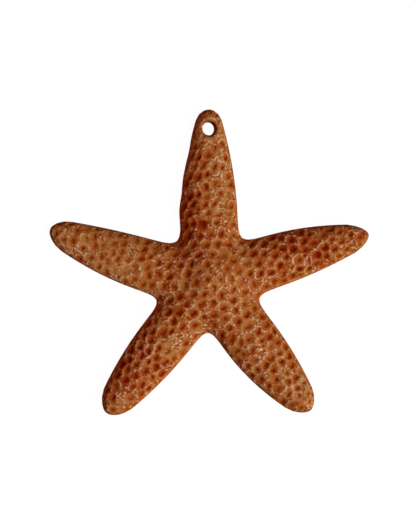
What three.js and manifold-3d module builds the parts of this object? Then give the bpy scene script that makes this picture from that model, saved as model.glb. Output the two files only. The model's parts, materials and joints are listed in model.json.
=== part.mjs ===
// A dried five-armed starfish that lies mouth side down, with a cord hole through the tip of one arm.
// Millimetres. +Z is up, +Y points along the arm with the hole, and z = 0 is the surface it lies on.
// The animal is one solid: a domed back, a flat underside with its five tube-foot grooves and the
// mouth where they meet, and the hole that was drilled so that it can hang on a cord.

import * as THREE from 'three';
import { ParametricGeometry } from 'three/addons/geometries/ParametricGeometry.js';
import { mergeGeometries, mergeVertices } from 'three/addons/utils/BufferGeometryUtils.js';
import Module from 'manifold-3d';

// The arms, counter-clockwise from the one with the hole. heading is in degrees from +X, reach is from
// the middle of the disc to the tip, and bow is how far the middle of the arm sways to its left.
// root, middle and end are half-widths at the fractions of the reach below, and nose is the length of
// the rounded tip.
const ARMS = [
  { heading: 90.5, reach: 81.5, bow: 0.25, root: 13.5, middle: 12, end: 7, nose: 4.5 },
  { heading: 161.7, reach: 79.5, bow: 1.75, root: 12.5, middle: 11.25, end: 7.25, nose: 8 },
  { heading: 231.5, reach: 78.5, bow: -0.25, root: 12.25, middle: 11.75, end: 8, nose: 9 },
  { heading: 308, reach: 76.5, bow: -1.25, root: 12.75, middle: 12.25, end: 7.75, nose: 8 },
  { heading: 17, reach: 78, bow: 1, root: 12.5, middle: 11.25, end: 6.75, nose: 9 },
];
const ROOT_AT = 0.3;
const MIDDLE_AT = 0.6;
const END_AT = 0.9;

// The body.
const ARM_BLEND = 0.55; // how softly the arms run into each other at the notches and over the disc
const RIM_HEIGHT = 4.6; // the widest level of the flank at the disc
const RIM_HEIGHT_TIP = 3.4; // and at the arm tips
const CREST_HEIGHT = 13.2; // height of an arm's crest, as if it ran on to the middle of the disc
const CREST_HEIGHT_TIP = 8.6; // and at the arm tips
const MEAN_REACH = 79;
const FLAT_FROM = 0.5; // fullness at which the flank has turned under and lies flat

// The cord hole in the first arm. It leans a little, so its lower end is nearer to the arm's left side.
const HOLE_RADIUS = 3.2;
const HOLE_FROM_CENTRE = 72.3;
const HOLE_ASIDE = 0.25; // drilled a little to the left of the arm's middle line
const HOLE_LEAN = 1.15; // sideways shift between the two ends
const HOLE_FLARE = 0.8; // how far the worn rims open out
const HOLE_FLARE_DEPTH = 1.1;
const HOLE_DEPTH = 8.4; // from the surface it lies on to the rim on the back

// The underside.
const GROOVE_HALF_WIDTH = 2;
const GROOVE_HALF_WIDTH_TIP = 0.8;
const GROOVE_DEPTH = 2.4;
const GROOVE_DEPTH_TIP = 0.9;
const GROOVE_END_GAP = 4.5; // plain shell left past the end of a groove
const MOUTH_RADIUS = 4.5;
const MOUTH_DEPTH = 3.4;
const CUTTER_DROP = 0.12; // the cutters' middles lie this far below z = 0, so none has an edge in it

// How finely the surfaces are cut up.
const ROWS_IN_DISC = 6;
const ROWS_IN_ARM = 16;
const COLUMNS = 14;
const WELD = 0.01;
const ON_OUTLINE = 1e-5;

const wasm = await Module();
wasm.setup();

const directions = ARMS.map((arm) => {
  const angle = THREE.MathUtils.degToRad(arm.heading);
  return {
    along: new THREE.Vector2(Math.cos(angle), Math.sin(angle)),
    across: new THREE.Vector2(-Math.sin(angle), Math.cos(angle)),
  };
});

// Value at x of the parabola through three points (x, y).
function parabola(x, [x0, y0], [x1, y1], [x2, y2]) {
  return (
    (y0 * (x - x1) * (x - x2)) / ((x0 - x1) * (x0 - x2)) +
    (y1 * (x - x0) * (x - x2)) / ((x1 - x0) * (x1 - x2)) +
    (y2 * (x - x0) * (x - x1)) / ((x2 - x0) * (x2 - x1))
  );
}

// Runs from 0 to 1 with x, slowly near both ends.
function eased(x) {
  return (1 - Math.cos(Math.PI * x)) / 2;
}

function halfWidth(arm, fraction) {
  const x = Math.max(fraction, 0);
  const width = parabola(x, [ROOT_AT, arm.root], [MIDDLE_AT, arm.middle], [END_AT, arm.end]);
  return Math.max(width, 1);
}

// Sideways sway of an arm's crest, none at the middle of the disc and at the tip.
function sway(arm, fraction) {
  return arm.bow * 4 * fraction * (1 - fraction);
}

// A point given by its distance along an arm and to its left.
function armPoint(index, along, across) {
  const { along: forward, across: left } = directions[index];
  return forward.clone().multiplyScalar(along).addScaledVector(left, across);
}

// How far inside one arm a point is: 1 on its crest, 0 on its outline, negative outside.
function armFullness(index, point) {
  const arm = ARMS[index];
  const along = point.dot(directions[index].along);
  const fraction = along / arm.reach;
  const across = point.dot(directions[index].across) - sway(arm, fraction);
  const side = across / halfWidth(arm, fraction);
  const nose = Math.max(0, (along - arm.reach + arm.nose) / arm.nose);
  const behind = Math.max(0, -along / arm.root);
  return 1 - side * side - nose * nose - behind * behind;
}

// The same for the whole animal: the arms' values in a smooth union, highest over the disc.
function fullness(point) {
  const values = ARMS.map((arm, index) => armFullness(index, point));
  const sum = values.reduce((total, value) => total + Math.exp(value / ARM_BLEND), 0);
  return ARM_BLEND * Math.log(sum);
}

// Fullness for the heights: exactly 0 on the outline, so that the back and the underside meet there.
function closedFullness(point) {
  const value = fullness(point);
  return value < ON_OUTLINE ? 0 : value;
}

// Height of the back over a point of the plan.
function backHeight(point) {
  const outward = point.length() / MEAN_REACH;
  const rim = THREE.MathUtils.lerp(RIM_HEIGHT, RIM_HEIGHT_TIP, outward);
  const crest = THREE.MathUtils.lerp(CREST_HEIGHT, CREST_HEIGHT_TIP, outward);
  return rim + (crest - rim) * Math.sqrt(closedFullness(point));
}

// Height of the underside: flat at z = 0, with a quarter round up to the rim.
function undersideHeight(point) {
  const outward = point.length() / MEAN_REACH;
  const rim = THREE.MathUtils.lerp(RIM_HEIGHT, RIM_HEIGHT_TIP, outward);
  const turn = THREE.MathUtils.clamp(1 - closedFullness(point) / FLAT_FROM, 0, 1);
  return rim * (1 - Math.sqrt(1 - turn * turn));
}

// First distance along a ray from inside the animal at which it crosses the outline.
function outlineDistance(pointAt, limit) {
  const step = 0.5;
  let inside = 0;
  let outside = step;
  while (outside < limit && fullness(pointAt(outside)) > 0) {
    inside = outside;
    outside += step;
  }
  for (let pass = 0; pass < 30; pass += 1) {
    const middle = (inside + outside) / 2;
    if (fullness(pointAt(middle)) > 0) inside = middle;
    else outside = middle;
  }
  return (inside + outside) / 2;
}

// The notch between an arm and the next: where the outline comes nearest to the middle of the disc.
function notchAfter(index) {
  const start = directions[index].along.angle();
  const end = directions[(index + 1) % ARMS.length].along.angle();
  const gap = (end - start + 2 * Math.PI) % (2 * Math.PI);
  const onOutline = (share) => {
    const ray = new THREE.Vector2(1, 0).rotateAround(new THREE.Vector2(), start + gap * share);
    const distance = outlineDistance((d) => ray.clone().multiplyScalar(d), MEAN_REACH);
    return ray.multiplyScalar(distance);
  };
  let low = 0.25;
  let high = 0.75;
  for (let pass = 0; pass < 40; pass += 1) {
    const third = (high - low) / 3;
    if (onOutline(low + third).length() < onOutline(high - third).length()) high -= third;
    else low += third;
  }
  return onOutline((low + high) / 2);
}

const notches = ARMS.map((arm, index) => notchAfter(index));

// The notch on the left (side 1) or on the right (side -1) of an arm.
function notchBeside(index, side) {
  return side > 0 ? notches[index] : notches[(index + ARMS.length - 1) % ARMS.length];
}

// A point of the outline of one arm. side is 1 for its left edge and -1 for its right edge, and
// progress runs from 0 at the notch to 1 at the tip, with finer steps round both.
function outlinePoint(index, side, progress) {
  const arm = ARMS[index];
  const notch = notchBeside(index, side);
  if (progress <= 0) return notch.clone();
  if (progress >= 1) return armPoint(index, arm.reach, 0);
  const start = notch.dot(directions[index].along);
  const along = start + (arm.reach - start) * eased(progress);
  const crest = sway(arm, along / arm.reach);
  const distance = outlineDistance((d) => armPoint(index, along, crest + side * d), arm.reach);
  return armPoint(index, along, crest + side * distance);
}

// A point on the arc from an arm's right notch (across 0) to its left notch (across 1), drawn in
// towards the middle of the disc where growth is less than 1.
function arcPoint(index, across, growth) {
  const right = notchBeside(index, -1);
  const left = notchBeside(index, 1);
  const start = right.angle();
  const sweep = (left.angle() - start + 2 * Math.PI) % (2 * Math.PI);
  const angle = start + sweep * across;
  const radius = THREE.MathUtils.lerp(right.length(), left.length(), eased(across));
  return new THREE.Vector2(Math.cos(angle), Math.sin(angle)).multiplyScalar(radius * growth);
}

// A point on one arm's fifth of the plan. row counts the arcs out from the middle of the disc to the
// notches, and then the rows across the arm, which straighten as they walk out to the tip.
function planPoint(index, across, row) {
  if (row <= ROWS_IN_DISC) {
    return arcPoint(index, across, Math.sin((row / ROWS_IN_DISC) * (Math.PI / 2)));
  }
  const progress = (row - ROWS_IN_DISC) / ROWS_IN_ARM;
  const arc = arcPoint(index, across, 1);
  const chord = notchBeside(index, -1).clone().lerp(notchBeside(index, 1), across);
  const bulge = arc.sub(chord).multiplyScalar(1 - progress);
  return outlinePoint(index, -1, progress).lerp(outlinePoint(index, 1, progress), across).add(bulge);
}

// One sheet over an arm and its fifth of the disc, with columns that crowd towards the outline.
function armSheet(index, heightAt, facesUp) {
  const rows = ROWS_IN_DISC + ROWS_IN_ARM;
  const surface = (u, v, target) => {
    const across = eased(facesUp ? 1 - u : u);
    const point = planPoint(index, across, v * rows);
    target.set(point.x, point.y, heightAt(point));
  };
  return new ParametricGeometry(surface, COLUMNS, rows);
}

// Drops the triangles that collapsed where rows or columns meet in a point.
function withoutSlivers(geometry) {
  const index = geometry.index.array;
  const kept = [];
  for (let i = 0; i < index.length; i += 3) {
    const [a, b, c] = index.slice(i, i + 3);
    if (a !== b && b !== c && c !== a) kept.push(a, b, c);
  }
  geometry.setIndex(kept);
  return geometry;
}

function toSolid(geometry) {
  const bare = geometry.clone();
  bare.deleteAttribute('normal');
  bare.deleteAttribute('uv');
  const welded = withoutSlivers(mergeVertices(bare, WELD));
  return new wasm.Manifold(new wasm.Mesh({
    numProp: 3,
    vertProperties: new Float32Array(welded.attributes.position.array),
    triVerts: new Uint32Array(welded.index.array),
  }));
}

function toGeometry(solid) {
  const mesh = solid.getMesh();
  const geometry = new THREE.BufferGeometry();
  geometry.setAttribute('position', new THREE.BufferAttribute(mesh.vertProperties, 3));
  geometry.setIndex(new THREE.BufferAttribute(mesh.triVerts, 1));
  return geometry;
}

function bodySolid() {
  const sheets = ARMS.flatMap((arm, index) => [
    armSheet(index, backHeight, true),
    armSheet(index, undersideHeight, false),
  ]);
  return toSolid(mergeGeometries(sheets));
}

// The cutter for the cord hole: a leaning rod that flares at both rims.
function holeCutter() {
  const beyond = 4;
  const flareSteps = 4;
  const profile = [new THREE.Vector2(0, -beyond)];
  const flareRadius = (turn) => HOLE_RADIUS + HOLE_FLARE * (1 - Math.sqrt(1 - turn * turn));
  profile.push(new THREE.Vector2(HOLE_RADIUS + HOLE_FLARE, -beyond));
  for (let step = flareSteps; step >= 0; step -= 1) {
    const turn = step / flareSteps;
    profile.push(new THREE.Vector2(flareRadius(turn), HOLE_FLARE_DEPTH * (1 - turn)));
  }
  for (let step = 0; step <= flareSteps; step += 1) {
    const turn = step / flareSteps;
    const level = HOLE_DEPTH - HOLE_FLARE_DEPTH * (1 - turn);
    profile.push(new THREE.Vector2(flareRadius(turn), level));
  }
  profile.push(new THREE.Vector2(HOLE_RADIUS + HOLE_FLARE, HOLE_DEPTH + beyond));
  profile.push(new THREE.Vector2(0, HOLE_DEPTH + beyond));

  const rod = new THREE.LatheGeometry(profile, 28);
  const centre = armPoint(0, HOLE_FROM_CENTRE, HOLE_ASIDE);
  const shear = new THREE.Matrix4().set(
    1, 0, HOLE_LEAN / HOLE_DEPTH, centre.x - HOLE_LEAN / 2,
    0, 1, 0, centre.y,
    0, 0, 1, 0,
    0, 0, 0, 1,
  );
  return toSolid(rod.rotateX(Math.PI / 2).applyMatrix4(shear));
}

// The cutter for one tube-foot groove: a slender spindle along the arm's crest line, half sunk.
function grooveCutter(index) {
  const arm = ARMS[index];
  const length = (index === 0 ? HOLE_FROM_CENTRE - HOLE_RADIUS : arm.reach) - GROOVE_END_GAP;
  const steps = 12;
  const profile = [new THREE.Vector2(0, 0)];
  for (let step = 0; step < steps; step += 1) {
    const done = step / steps;
    const taper = THREE.MathUtils.lerp(GROOVE_HALF_WIDTH, GROOVE_HALF_WIDTH_TIP, done * done);
    profile.push(new THREE.Vector2(taper, done * length));
  }
  profile.push(new THREE.Vector2(0, length));

  const spindle = new THREE.LatheGeometry(profile, 10);
  const position = spindle.attributes.position;
  for (let i = 0; i < position.count; i += 1) {
    const done = position.getY(i) / length;
    const depth = THREE.MathUtils.lerp(GROOVE_DEPTH, GROOVE_DEPTH_TIP, done * done);
    const width = THREE.MathUtils.lerp(GROOVE_HALF_WIDTH, GROOVE_HALF_WIDTH_TIP, done * done);
    const bowed = position.getX(i) + sway(arm, position.getY(i) / arm.reach);
    const point = armPoint(index, position.getY(i), bowed);
    position.setXYZ(i, point.x, point.y, (-position.getZ(i) * depth) / width - CUTTER_DROP);
  }
  return toSolid(spindle);
}

function mouthCutter() {
  const bowl = new THREE.SphereGeometry(MOUTH_RADIUS, 20, 10);
  return toSolid(bowl.scale(1, 1, MOUTH_DEPTH / MOUTH_RADIUS).translate(0, 0, -CUTTER_DROP));
}

const cutters = [holeCutter(), mouthCutter(), ...ARMS.map((arm, index) => grooveCutter(index))];
const carved = cutters.reduce((solid, cutter) => solid.subtract(cutter), bodySolid());

// The part's origin is under the middle of its box.
const geometry = toGeometry(carved);
geometry.computeBoundingBox();
const middle = geometry.boundingBox.getCenter(new THREE.Vector3());
geometry.translate(-middle.x, -middle.y, 0);

const shell = new THREE.MeshStandardMaterial({ color: '#8f4e27', roughness: 0.42, metalness: 0 });
const starfish = new THREE.Mesh(geometry, shell);
starfish.name = 'starfish';

const part = new THREE.Group();
part.add(starfish);

export default part;
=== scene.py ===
"""A dried starfish with a dimpled, varnished back, a flat grooved underside and a cord hole.

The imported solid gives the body, its place and its size. This script grows the fine skin over it:
rows of round dimples with a pore in each, smooth margins with fine wrinkles, a worn rim round the
cord hole, and spines and tube feet along the five grooves of the underside.
"""

import json
import logging
import math
import random
from dataclasses import dataclass, field
from enum import Enum
from types import SimpleNamespace
from typing import Any, Sequence

import bmesh
import bpy
import numpy as np
from mathutils import Matrix, Vector
from mathutils.bvhtree import BVHTree

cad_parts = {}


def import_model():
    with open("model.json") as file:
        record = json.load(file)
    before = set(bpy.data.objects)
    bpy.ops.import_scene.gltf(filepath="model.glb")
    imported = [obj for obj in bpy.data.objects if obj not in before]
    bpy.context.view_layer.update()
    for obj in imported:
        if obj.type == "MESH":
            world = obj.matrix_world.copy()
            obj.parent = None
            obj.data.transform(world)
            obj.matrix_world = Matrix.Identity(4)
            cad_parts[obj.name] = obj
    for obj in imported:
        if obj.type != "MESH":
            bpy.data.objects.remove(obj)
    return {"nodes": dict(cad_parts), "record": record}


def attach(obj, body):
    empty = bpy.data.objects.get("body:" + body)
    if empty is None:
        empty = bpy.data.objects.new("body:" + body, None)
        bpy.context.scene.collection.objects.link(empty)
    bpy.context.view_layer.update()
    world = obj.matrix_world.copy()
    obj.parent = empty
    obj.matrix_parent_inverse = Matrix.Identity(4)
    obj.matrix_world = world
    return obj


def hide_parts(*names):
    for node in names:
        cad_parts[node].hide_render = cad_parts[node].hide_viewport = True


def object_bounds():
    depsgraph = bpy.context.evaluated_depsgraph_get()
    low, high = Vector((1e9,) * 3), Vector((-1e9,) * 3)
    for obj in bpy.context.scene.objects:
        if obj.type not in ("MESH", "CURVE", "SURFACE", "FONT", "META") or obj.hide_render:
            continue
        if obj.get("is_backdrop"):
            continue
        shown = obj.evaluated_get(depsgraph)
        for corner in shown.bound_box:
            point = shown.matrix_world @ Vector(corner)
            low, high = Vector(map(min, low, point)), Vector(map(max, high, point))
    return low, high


LOG = logging.getLogger("starfish")

MM = 0.001
NODE = "starfish"
BODY = "root"
SEED = 20

TINY = 1e-12

# A band is a range, or the value at which a soft step is 0 and the one at which it is 1.
# A grain is the scale, the octaves and the roughness of a noise.
Colour = tuple[float, float, float, float]
Band = tuple[float, float]
Grain = tuple[float, float, float]


# ---------------------------------------------------------------- shader building


class Wire:
    """A socket of a node tree, on which arithmetic adds Math nodes."""

    def __init__(self, graph: "Graph", socket: bpy.types.NodeSocket) -> None:
        """Wraps one output socket.

        Args:
            graph: The graph that the socket belongs to.
            socket: The output socket.
        """
        self.graph = graph
        self.socket = socket

    def __add__(self, other: "Wire | float") -> "Wire":
        """This plus other."""
        return self.graph.maths("ADD", self, other)

    def __sub__(self, other: "Wire | float") -> "Wire":
        """This minus other."""
        return self.graph.maths("SUBTRACT", self, other)

    def __rsub__(self, other: "Wire | float") -> "Wire":
        """Other minus this."""
        return self.graph.maths("SUBTRACT", other, self)

    def __mul__(self, other: "Wire | float") -> "Wire":
        """This times other."""
        return self.graph.maths("MULTIPLY", self, other)

    __radd__ = __add__
    __rmul__ = __mul__

    def clamped(self) -> "Wire":
        """This held between 0 and 1."""
        return self.graph.maths("ADD", self, 0.0, clamp=True)

    def ramp(self, low: float, high: float) -> "Wire":
        """A soft step of this wire.

        Args:
            low: The value at which the step is 0.
            high: The value at which the step is 1. It may be the smaller one.

        Returns:
            The step, from 0 to 1.
        """
        flipped = low > high
        step = self.graph.add(
            "ShaderNodeMapRange",
            {"interpolation_type": "SMOOTHSTEP"},
            {
                "Value": self,
                "From Min": high if flipped else low,
                "From Max": low if flipped else high,
            },
            "Result",
        )
        return 1.0 - step if flipped else step


class Graph:
    """The node tree of one material, with a short way to add nodes to it."""

    def __init__(self, name: str) -> None:
        """Starts an empty material.

        Args:
            name: The material's name.
        """
        self.material = bpy.data.materials.new(name)
        self.material.use_nodes = True
        self.tree = self.material.node_tree
        self.tree.nodes.clear()

    def add(
        self,
        kind: str,
        settings: dict[str, Any] | None = None,
        inputs: dict[str, Any] | None = None,
        output: str | int = 0,
    ) -> Wire:
        """Adds a node.

        Args:
            kind: The node's type.
            settings: Its properties, set before its sockets. "stops" gives a colour ramp's stops.
            inputs: Values or wires by socket name or number.
            output: The output to return.

        Returns:
            The chosen output.
        """
        node = self.tree.nodes.new(kind)
        for key, value in (settings or {}).items():
            if key == "stops":
                self._set_stops(node.color_ramp, value)
            else:
                setattr(node, key, value)
        for key, value in (inputs or {}).items():
            socket = node.inputs[key]
            if isinstance(value, Wire):
                self.tree.links.new(value.socket, socket)
            else:
                socket.default_value = value
        return Wire(self, node.outputs[output])

    @staticmethod
    def _set_stops(ramp: bpy.types.ColorRamp, stops: Sequence[tuple[float, tuple]]) -> None:
        """Gives a colour ramp its stops.

        Args:
            ramp: The ramp, as a new node has it.
            stops: Position and colour of each stop, in order.
        """
        while len(ramp.elements) < len(stops):
            ramp.elements.new(1.0)
        for element, (position, colour) in zip(ramp.elements, stops):
            element.position = position
            element.color = colour

    def surface(self, shader: Wire) -> None:
        """Links a shader to the material's surface."""
        output = self.tree.nodes.new("ShaderNodeOutputMaterial")
        self.tree.links.new(shader.socket, output.inputs["Surface"])

    def maths(self, operation: str, *values: Wire | float, clamp: bool = False) -> Wire:
        """Adds a Math node.

        Args:
            operation: Its operation.
            values: Its inputs, in order.
            clamp: Whether the result is held between 0 and 1.

        Returns:
            The node's value.
        """
        settings = {"operation": operation, "use_clamp": clamp}
        return self.add("ShaderNodeMath", settings, dict(enumerate(values)))

    def mix(self, factor: Wire | float, first: Any, second: Any) -> Wire:
        """Blends two colours.

        Args:
            factor: 0 for the first colour, 1 for the second.
            first: A colour or a wire.
            second: A colour or a wire.

        Returns:
            The blended colour.
        """
        inputs = {0: factor, 6: first, 7: second}
        return self.add("ShaderNodeMix", {"data_type": "RGBA"}, inputs, 2)

    def noise(self, where: Wire, scale: float, detail: float, roughness: float) -> Wire:
        """Fractal noise.

        Args:
            where: The coordinates.
            scale: Cycles for each unit of the coordinates.
            detail: Octaves.
            roughness: How strong the finer octaves are.

        Returns:
            The noise, about 0.5.
        """
        inputs = {"Vector": where, "Scale": scale, "Detail": detail, "Roughness": roughness}
        return self.add("ShaderNodeTexNoise", {}, inputs, "Fac")

    def attribute(self, name: str, output: str) -> Wire:
        """Reads a mesh attribute.

        Args:
            name: The attribute's name.
            output: The output to read, such as Fac or Vector.

        Returns:
            The attribute.
        """
        return self.add("ShaderNodeAttribute", {"attribute_name": name}, {}, output)


# ---------------------------------------------------------------- the body, read from the frame


def rows_of(items: bpy.types.bpy_prop_collection, name: str) -> np.ndarray:
    """Reads one vector of each item of a mesh.

    Args:
        items: The items, such as the vertices.
        name: The vector's name.

    Returns:
        Rows x, y, z.
    """
    flat = np.empty(len(items) * 3, np.float32)
    items.foreach_get(name, flat)
    return flat.reshape(-1, 3).astype(float)


def points_of(mesh: bpy.types.Mesh) -> np.ndarray:
    """The vertices of a mesh as rows x, y, z."""
    return rows_of(mesh.vertices, "co")


def normals_of(mesh: bpy.types.Mesh) -> np.ndarray:
    """The vertex normals of a mesh as rows x, y, z."""
    return rows_of(mesh.vertex_normals, "vector")


def triangles_in(mesh: bpy.types.Mesh) -> int:
    """The number of triangles that the faces of a mesh make."""
    return sum(len(face.vertices) - 2 for face in mesh.polygons)


def settle(mesh: bpy.types.Mesh, points: np.ndarray) -> None:
    """Moves the vertices of a mesh and keeps them above the floor.

    Args:
        mesh: The mesh.
        points: Their new places, of which those below the floor are lifted onto it.
    """
    points[:, 2] = np.maximum(points[:, 2], 0)
    mesh.vertices.foreach_set("co", points.ravel())
    mesh.update()


def linked(name: str, data: bpy.types.ID) -> bpy.types.Object:
    """Makes an object and links it to the scene.

    Args:
        name: Its name.
        data: Its mesh, light or camera.

    Returns:
        The object.
    """
    made = bpy.data.objects.new(name, data)
    bpy.context.scene.collection.objects.link(made)
    return made


def store(mesh: bpy.types.Mesh, name: str, values: np.ndarray) -> None:
    """Stores numbers or vectors on the vertices of a mesh.

    Args:
        mesh: The mesh.
        name: The attribute's name.
        values: One number or one x, y, z for each vertex.
    """
    vectors = values.ndim > 1
    attribute = mesh.attributes.new(name, "FLOAT_VECTOR" if vectors else "FLOAT", "POINT")
    attribute.data.foreach_set("vector" if vectors else "value", values.astype(np.float32).ravel())


def soft_step(low: float, high: float, value: Any) -> Any:
    """Runs smoothly from 0 to 1.

    Args:
        low: The value at which the step is 0.
        high: The value at which the step is 1. It may be the smaller one.
        value: A number or an array.

    Returns:
        The step at each value.
    """
    share = np.clip((value - low) / (high - low), 0, 1)
    return share * share * (3 - 2 * share)


def unit(vector: np.ndarray) -> np.ndarray:
    """A vector, or each row of an array of them, at length 1."""
    length = np.linalg.norm(vector, axis=-1, keepdims=True)
    return vector / np.maximum(length, TINY)


def towards(turn: float) -> np.ndarray:
    """The level direction at an angle from +X."""
    return np.array([math.cos(turn), math.sin(turn), 0])


@dataclass(frozen=True)
class Arm:
    """One arm in plan: its direction, the direction to its left, and its length."""

    along: np.ndarray
    left: np.ndarray
    reach: float


class Anatomy:
    """Where the disc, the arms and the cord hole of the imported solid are."""

    arm_count: int = 5
    arm_spread: float = math.radians(30)
    holed_arm_bend: float = math.radians(10)
    section_level: float = 4.0 * MM
    axis_start: float = 4.0 * MM
    axis_end_gap: float = 3.0 * MM
    axis_pitch: float = 2.0 * MM

    def __init__(self, solid: bpy.types.Object, record: dict[str, Any]) -> None:
        """Measures the solid.

        Args:
            solid: The CAD node.
            record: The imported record, whose opening says where the cord hole is.
        """
        points = points_of(solid.data)
        self.centre = points[points[:, 2].argmax(), :2]
        low, high = (np.array(corner) for corner in record["physics"]["openings"][0]["box_m"])
        self.hole = ((low + high) / 2)[:2]
        self.arms = self._find_arms(points[:, :2] - self.centre)
        self.tree = BVHTree.FromObject(solid, bpy.context.evaluated_depsgraph_get())

    def _find_arms(self, plan: np.ndarray) -> list[Arm]:
        """Takes the farthest point of each arm as its tip.

        Args:
            plan: The solid's vertices in plan, from the middle of the disc.

        Returns:
            The arms, counter-clockwise from the one with the hole.
        """
        distance = np.linalg.norm(plan, axis=1)
        heading = np.arctan2(plan[:, 1], plan[:, 0])
        free = np.ones(len(plan), bool)
        tips = []
        for _ in range(self.arm_count):
            tip = np.argmax(np.where(free, distance, 0))
            tips.append(plan[tip])
            turn = np.angle(np.exp(1j * (heading - heading[tip])))
            free &= np.abs(turn) > self.arm_spread
        holed = np.arctan2(*(self.hole - self.centre)[::-1])
        first = holed - self.holed_arm_bend
        tips.sort(key=lambda tip: (math.atan2(tip[1], tip[0]) - first) % math.tau)
        arms = []
        for tip in tips:
            reach = float(np.linalg.norm(tip))
            along = tip / reach
            arms.append(Arm(along, np.array([-along[1], along[0]]), reach))
        return arms

    def section(self, arm: Arm, station: float) -> tuple[float, float]:
        """Measures an arm across.

        Args:
            arm: The arm.
            station: Distance from the middle of the disc.

        Returns:
            How far the middle of the arm lies to the left of its straight line, and its half-width.
        """
        foot = self.centre + arm.along * station
        origin = Vector((*foot, self.section_level))
        reach = []
        for side in (1, -1):
            direction = Vector((*(arm.left * side), 0))
            hit = self.tree.ray_cast(origin, direction)[0]
            reach.append((hit - origin).length if hit else 0.0)
        return (reach[0] - reach[1]) / 2, (reach[0] + reach[1]) / 2

    def aside(self, plan: np.ndarray) -> np.ndarray:
        """Measures how far points are from the middle line of their arm.

        Args:
            plan: Points in plan, from the middle of the disc.

        Returns:
            The distance of each.
        """
        nearest = self.nearest_arm(plan)
        gaps = np.zeros(len(plan))
        for number, arm in enumerate(self.arms):
            mine = nearest == number
            stations = np.arange(self.axis_start, arm.reach - self.axis_end_gap, self.axis_pitch)
            middles = [self.section(arm, station)[0] for station in stations]
            middle = np.interp(plan[mine] @ arm.along, stations, middles)
            gaps[mine] = np.abs(plan[mine] @ arm.left - middle)
        return gaps

    def nearest_arm(self, plan: np.ndarray) -> np.ndarray:
        """The number of the arm that each point in plan, from the disc's middle, belongs to."""
        lined_up = np.stack([unit(plan) @ arm.along for arm in self.arms], axis=-1)
        return lined_up.argmax(axis=-1)


class Neighbours:
    """Averages values over the neighbours of each vertex of a mesh."""

    def __init__(self, mesh: bpy.types.Mesh) -> None:
        """Reads the mesh's edges.

        Args:
            mesh: The mesh.
        """
        pairs = np.empty(len(mesh.edges) * 2, np.int32)
        mesh.edges.foreach_get("vertices", pairs)
        self.ends = pairs.reshape(-1, 2)
        self.count = len(mesh.vertices)
        self.degree = np.bincount(pairs, minlength=self.count).astype(float)

    def __call__(self, values: np.ndarray) -> np.ndarray:
        """Averages over the neighbours.

        Args:
            values: A number or a vector for each vertex.

        Returns:
            The average of each vertex's neighbours.
        """
        if values.ndim > 1:
            return np.stack([self(column) for column in values.T], axis=1)
        first, second = self.ends.T
        total = np.bincount(first, values[second], self.count)
        total += np.bincount(second, values[first], self.count)
        return total / np.maximum(self.degree, 1)


# ---------------------------------------------------------------- the dimples


class Mark(Enum):
    """What a mark in the skin is."""

    DIMPLE = "dimple"
    NICK = "nick"


@dataclass(frozen=True)
class Dimple:
    """One hollow in the skin: place, oval, depth, pore, and a blot of staining and painted shade."""

    kind: Mark
    place: Vector
    radius: float
    depth: float
    squeeze: float
    turn: float
    tone: float
    # The blot's strength: painted shade toward painted_shade_heading, on a dimple its shaded wall,
    # over weaker staining.
    stain_and_painted_shade: float
    painted_shade_heading: float
    pore: tuple[float, float]
    pore_radius: float


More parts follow.
